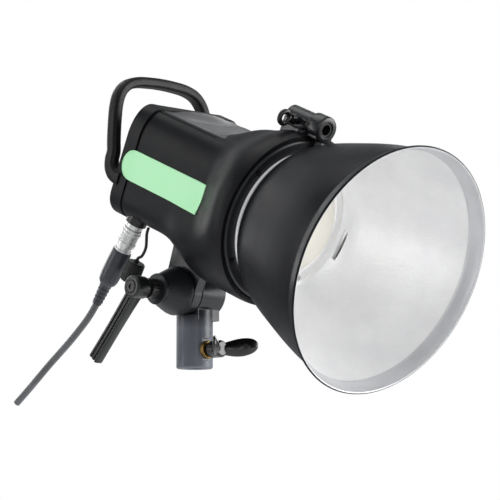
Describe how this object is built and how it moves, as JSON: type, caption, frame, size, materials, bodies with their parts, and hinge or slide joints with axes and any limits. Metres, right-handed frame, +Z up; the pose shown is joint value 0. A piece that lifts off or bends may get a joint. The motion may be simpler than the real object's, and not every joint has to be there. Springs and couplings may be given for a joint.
{
  "type": "monolight strobe",
  "caption": "Studio flash head with a bell reflector on a bayonet, carrying handle, umbrella holder, rear controls and a lockable tilt bracket with a spigot socket.",
  "frame": {"origin": "centre of the stand socket's mouth, on the socket axis at the lower face of the receiver", "axes": "+Z up along the stand socket; the lamp points towards -Y (24 degrees nose-down at rest); the tilt axis is parallel to X and the clamp lever is on the -X side"},
  "size_m": [0.1886, 0.4101, 0.2564],
  "materials": {
    "adapter_paint": "satin black paint on cast alloy",
    "brass": "turned brass",
    "steel": "zinc-plated steel",
    "screw_black": "black oxide steel",
    "bright_metal": "satin nickel plate",
    "gloss_black": "glossy moulded nylon",
    "lever_plastic": "glass-filled nylon",
    "fibre": "pressed fibre",
    "inner_metal": "bare sheet and turned alloy",
    "board_parts": "varnished coil",
    "housing_plastic": "fine-textured moulded shell",
    "cover_plastic": "smooth satin moulding",
    "panel_plastic": "fine-textured plate",
    "lcd_glass": "tinted display window",
    "rubber_grip": "soft grip",
    "sensor_red": "tinted clear dome",
    "button_grey": "silicone key",
    "handle_plastic": "textured moulding",
    "badge_green": "mint-green satin plate",
    "black_metal": "black anodised alloy",
    "reflector_metal": "spun alloy, satin silver inside, black paint outside",
    "ceramic_white": "white lamp base",
    "tube_glass": "quartz tube",
    "led_yellow": "phosphor and silicone lens",
    "frosted_glass": "frosted glass",
    "capacitor_sleeve": "shrink sleeve",
    "board_green": "solder-masked board",
    "boot_rubber": "moulded rubber",
    "lead_rubber": "cable sheath"
  },
  "bodies": {
    "stand_adapter": {"stand_receiver": "adapter_paint", "brass_insert": "brass", "clamp_cone": "adapter_paint", "tilt_bolt": "steel", "friction_washers": "fibre"},
    "shoe": {"clamp_shoe": "brass"},
    "wing": {"wing_screw": "steel", "wing_knob": "gloss_black"},
    "lever_hub": {"lever_insert": "steel", "lever_screw": "steel", "lever_spring": "steel"},
    "lever": {"clamp_lever": "lever_plastic"},
    "dial": {"control_dial": "rubber_grip"},
    "btn_model": {"model_button": "button_grey"},
    "btn_test": {"test_button": "button_grey"},
    "btn_set": {"set_button": "button_grey"},
    "btn_mode": {"mode_button": "button_grey"},
    "rocker": {"power_switch": "gloss_black"},
    "umb_pad": {"umbrella_pad": "brass"},
    "umb_screw": {"umbrella_screw": "black_metal"},
    "lock": {"lock_slider": "black_metal"},
    "reflector": {"reflector_dish": "reflector_metal", "reflector_flange": "bright_metal", "flange_rivets": "bright_metal"},
    "fan": {"fan_rotor": "gloss_black"},
    "plug": {"power_plug": "bright_metal", "plug_boot": "boot_rubber", "power_lead": "lead_rubber"},
    "sleeve": {"plug_sleeve": "bright_metal"},
    "cap": {"dust_cap": "boot_rubber", "cap_lanyard": "lead_rubber"},
    "head": {"bayonet_ring": "inner_metal", "case_screws": "screw_black", "chassis": "inner_metal", "control_board": "board_green", "fan_frame": "gloss_black", "flash_capacitors": "capacitor_sleeve", "flash_tube": "tube_glass", "front_ring": "housing_plastic", "glass_dome": "frosted_glass", "handle": "handle_plastic", "housing_left": "housing_plastic", "housing_right": "housing_plastic", "lamp_base": "ceramic_white", "lcd_window": "lcd_glass", "led_heatsink": "inner_metal", "lock_spring": "steel", "modelling_led": "led_yellow", "power_board": "board_green", "power_socket": "black_metal", "rear_bezel": "housing_plastic", "rear_panel": "panel_plastic", "sensor_dome": "sensor_red", "side_badges": "badge_green", "sync_socket": "steel", "tilt_arm": "adapter_paint", "top_cover": "cover_plastic", "trigger_transformer": "board_parts", "umbrella_holder": "adapter_paint"}
  },
  "joints": [
    {"name": "head_tilt", "type": "hinge", "parent": "stand_adapter", "child": "head", "pos_m": [0, 0, 0.0585], "axis": [1, 0, 0], "range_deg": [-90, 26]},
    {"name": "clamp_travel", "type": "slide", "parent": "stand_adapter", "child": "shoe", "axis": [0, 1, 0], "range_m": [0, 0.0025]},
    {"name": "wing_turn", "type": "hinge", "parent": "shoe", "child": "wing", "pos_m": [0, -0.02, 0.0138], "axis": [0, 1, 0], "range_deg": [0, 720]},
    {"name": "lever_turn", "type": "hinge", "parent": "stand_adapter", "child": "lever_hub", "pos_m": [-0.0535, 0, 0.0585], "axis": [-1, 0, 0], "range_deg": [-75, 75]},
    {"name": "lever_pull", "type": "slide", "parent": "lever_hub", "child": "lever", "axis": [-1, 0, 0], "range_m": [0, 0.003], "stiffness_N_per_m": 1500, "deforming": ["lever_spring"]},
    {"name": "dial_turn", "type": "hinge", "parent": "head", "child": "dial", "pos_m": [-0.031, 0.01962, 0.1767], "axis": [0, -0.9135, -0.4067], "continuous": true},
    {"name": "model_press", "type": "slide", "parent": "head", "child": "btn_model", "axis": [0, -0.9135, -0.4067], "range_m": [0, 0.001], "stiffness_N_per_m": 400},
    {"name": "test_press", "type": "slide", "parent": "head", "child": "btn_test", "axis": [0, -0.9135, -0.4067], "range_m": [0, 0.001], "stiffness_N_per_m": 400},
    {"name": "set_press", "type": "slide", "parent": "head", "child": "btn_set", "axis": [0, -0.9135, -0.4067], "range_m": [0, 0.001], "stiffness_N_per_m": 400},
    {"name": "mode_press", "type": "slide", "parent": "head", "child": "btn_mode", "axis": [0, -0.9135, -0.4067], "range_m": [0, 0.001], "stiffness_N_per_m": 400},
    {"name": "power_rock", "type": "hinge", "parent": "head", "child": "rocker", "pos_m": [-0.026, 0.03122, 0.13589], "axis": [0, -0.4067, 0.9135], "range_deg": [0, 14]},
    {"name": "umbrella_clamp_travel", "type": "slide", "parent": "head", "child": "umb_pad", "axis": [1, 0, 0], "range_m": [0, 0.0016]},
    {"name": "umbrella_screw_turn", "type": "hinge", "parent": "umb_pad", "child": "umb_screw", "pos_m": [-0.01, -0.11684, 0.17834], "axis": [1, 0, 0], "range_deg": [0, 720]},
    {"name": "reflector_twist", "type": "hinge", "parent": "head", "child": "reflector", "pos_m": [0, -0.10228, 0.10382], "axis": [0, -0.9135, -0.4067], "range_deg": [-35, 0]},
    {"name": "lock_release", "type": "slide", "parent": "head", "child": "lock", "axis": [0, 0.9135, 0.4067], "range_m": [0, 0.0036], "deforming": ["lock_spring"]},
    {"name": "fan_spin", "type": "hinge", "parent": "head", "child": "fan", "pos_m": [0, -0.00617, 0.17069], "axis": [0, -0.9135, -0.4067], "continuous": true},
    {"name": "plug_withdraw", "type": "slide", "parent": "head", "child": "plug", "axis": [0, 0.6018, -0.7986], "range_m": [0, 0.012]},
    {"name": "plug_sleeve_slide", "type": "slide", "parent": "plug", "child": "sleeve", "axis": [0, 0.6018, -0.7986], "range_m": [0, 0.003], "stiffness_N_per_m": 600},
    {"name": "dust_cap_swing", "type": "hinge", "parent": "head", "child": "cap", "pos_m": [-0.038, 0.01138, 0.1067], "axis": [1, 0, 0], "range_deg": [-14, 4]}
  ],
  "couplings": [
    {"joint": "clamp_travel", "follows": "wing_turn", "m_per_rad": 0.00019894},
    {"joint": "umbrella_clamp_travel", "follows": "umbrella_screw_turn", "m_per_rad": 0.00012732},
    {"joint": "lock_release", "follows": "reflector_twist", "m_per_rad": -0.0058933}
  ]
}
